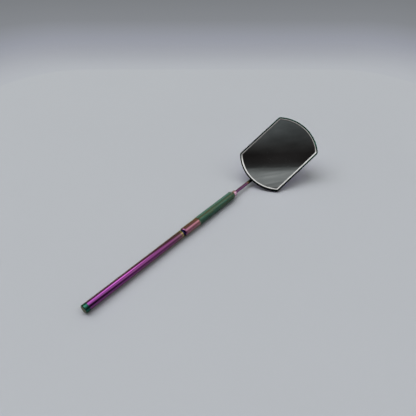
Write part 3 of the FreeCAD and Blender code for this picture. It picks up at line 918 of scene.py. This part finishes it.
def panel_share(graph, ahead, right, past_far):
    """Brightness of the overhead panel, which fades to the right and has a dim patch."""
    near_edge = graph.maths("MINIMUM", on_line(graph, right, NEAR_EDGE), MOST_NEAR_EDGE)
    past_near = graph.maths("SUBTRACT", ahead, near_edge)
    panel = graph.step(past_far, -1.0, 1.0, 1.0, 0.0)
    panel = graph.maths("MULTIPLY", panel, graph.step(past_near, -0.12, 0.04))
    panel = graph.maths("MULTIPLY", panel, graph.step(right, -1.6, -1.0))
    fade_place = graph.maths("DIVIDE", right, FADE_REACH, clamp=True)
    strength = graph.ramp(fade_place, [(place, grey(tone)) for place, tone in PANEL_FADE])
    patch = graph.maths("MULTIPLY", graph.step(ahead, 0.02, 0.10), graph.step(right, 0.18, 0.26))
    patch = graph.maths("MULTIPLY", patch, graph.step(right, 0.40, 0.52, 1.0, 0.0))
    panel = graph.maths("MULTIPLY", panel, graph.step(patch, 0.0, 1.0, 1.0, 0.30))
    return graph.maths("MULTIPLY", panel, strength)


def strip_share(graph, ahead, right):
    """Brightness of a narrow strip along the panel's far edge, soft at both ends."""
    from_line = graph.maths("ABSOLUTE", graph.maths("SUBTRACT", ahead, on_line(graph, right, STRIP_LINE)))
    strip = graph.step(from_line, 0.02, 0.09, 1.0, 0.0)
    strip = graph.maths("MULTIPLY", strip, graph.step(right, -0.12, 0.02))
    return graph.maths("MULTIPLY", strip, graph.step(right, 0.10, 0.50, 1.0, 0.0))


def ceiling_colour(graph, ahead, right):
    """Dim ceiling behind the camera: a brighter streaked band, and soft clouds in the rest of it."""
    colour = graph.ramp(
        graph.maths("ADD", graph.maths("MULTIPLY", ahead, 2.0), 1.0, clamp=True),
        [
            (0.00, (0.05, 0.05, 0.05)), (0.15, (0.13, 0.135, 0.135)), (0.17, (0.20, 0.21, 0.21)),
            (0.195, (0.19, 0.20, 0.20)), (0.21, (0.21, 0.22, 0.22)), (0.235, (0.18, 0.19, 0.19)),
            (0.245, (0.10, 0.105, 0.105)), (0.255, (0.085, 0.09, 0.09)), (0.262, (0.03, 0.031, 0.031)),
            (0.285, (0.016, 0.015, 0.015)), (0.33, (0.012, 0.011, 0.011)), (0.37, (0.025, 0.025, 0.025)),
            (0.42, (0.055, 0.059, 0.060)), (0.50, (0.085, 0.095, 0.097)),
        ],
    )
    before_end = graph.step(ahead, -0.385, -0.345, 1.0, 0.0)
    in_band = graph.maths("MULTIPLY", graph.step(ahead, -0.50, -0.44), before_end)
    streak_place = graph.add("ShaderNodeCombineXYZ", {
        0: graph.maths("MULTIPLY_ADD", right, -12.0, graph.maths("MULTIPLY", ahead, 70.0)),
        1: graph.maths("MULTIPLY", right, 3.0),
    }).outputs[0]
    streaks = graph.step(
        graph.noise(streak_place, 1.0, detail=3.0), 0.30, 0.70,
        graph.step(in_band, 0.0, 1.0, 0.94, 0.60), graph.step(in_band, 0.0, 1.0, 1.04, 1.28),
    )
    cloud_place = graph.add("ShaderNodeCombineXYZ", {
        0: graph.maths("MULTIPLY", right, 6.0),
        1: graph.maths("MULTIPLY", ahead, 11.0),
    }).outputs[0]
    clouds = graph.step(
        graph.noise(cloud_place, 1.0, detail=4.0, roughness=0.6), 0.30, 0.70,
        graph.step(in_band, 0.0, 1.0, 0.66, 1.0), graph.step(in_band, 0.0, 1.0, 1.32, 1.0),
    )
    return graph.vector("SCALE", colour, scale=graph.maths("MULTIPLY", streaks, clouds))


def right_side_share(graph, ahead, right):
    """1 on the paler side of the room, low down to the right."""
    slope = graph.maths("DIVIDE", ahead, graph.maths("MAXIMUM", right, 0.01))
    return graph.maths("MULTIPLY", graph.step(slope, -0.52, -0.24), graph.step(right, 0.6, 1.3))


def build_light():
    """Soft light: a wide slanted panel with a bright strip, a dim ceiling and a paler side of the room."""
    world = bpy.data.worlds.new("studio")
    bpy.context.scene.world = world
    world.use_nodes = True
    graph = Graph(world.node_tree)
    ahead, right = overhead_place(graph)
    past_far = past_far_edge(graph, ahead, right)
    room = graph.mix(graph.step(past_far, -0.5, 1.0), ceiling_colour(graph, ahead, right), BEYOND_PANEL)
    room = graph.mix(right_side_share(graph, ahead, right), room, RIGHT_SIDE)
    glow = graph.maths("MULTIPLY", panel_share(graph, ahead, right, past_far), PANEL_GLOW)
    glow = graph.maths("MULTIPLY_ADD", strip_share(graph, ahead, right), STRIP_GLOW, glow)
    light = graph.add("ShaderNodeCombineXYZ", {0: glow, 1: glow, 2: glow}).outputs[0]
    sky = graph.add("ShaderNodeBackground", {"Color": graph.vector("ADD", room, light)}).outputs[0]
    graph.add("ShaderNodeOutputWorld", {"Surface": sky})


# ---------------------------------------------------------------- camera

def build_camera():
    """Camera at the photograph's viewing angle."""
    data = bpy.data.cameras.new("camera")
    data.lens = CAMERA_LENS
    data.sensor_width = SENSOR_WIDTH
    data.clip_start = 0.01
    data.clip_end = 20
    camera = bpy.data.objects.new("camera", data)
    bpy.context.scene.collection.objects.link(camera)
    camera.location = Vector((TAIL, AXIS_Y, AXIS_Z)) + CAMERA_FROM_TAIL
    camera.rotation_euler = (math.pi / 2 - CAMERA_DIP, 0, -CAMERA_HEADING)
    bpy.context.scene.camera = camera


# ---------------------------------------------------------------- assembly

MATERIALS = {
    "tail_cap": tail_cap_material,
    "rear_tube": rear_tube_material,
    "joint_stud": bare_steel_material,
    "joint_washer": washer_material,
    "nose_ferrule": nose_material,
    "stem_seal": rubber_material,
    "stem": stem_material,
    "braze_joint": braze_material,
    "mirror_cup": cup_material,
    "adhesive_pad": adhesive_material,
    "mirror_coating": backing_material,
    "mirror_glass": mirror_material,
    "retaining_ring": ring_material,
}

for node, make in MATERIALS.items():
    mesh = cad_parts[node].data
    mesh.materials.clear()
    mesh.materials.append(make())

build_grip().data.materials.append(grip_material())
build_stage()
build_light()
build_camera()
bpy.context.scene.view_settings.view_transform = "Standard"
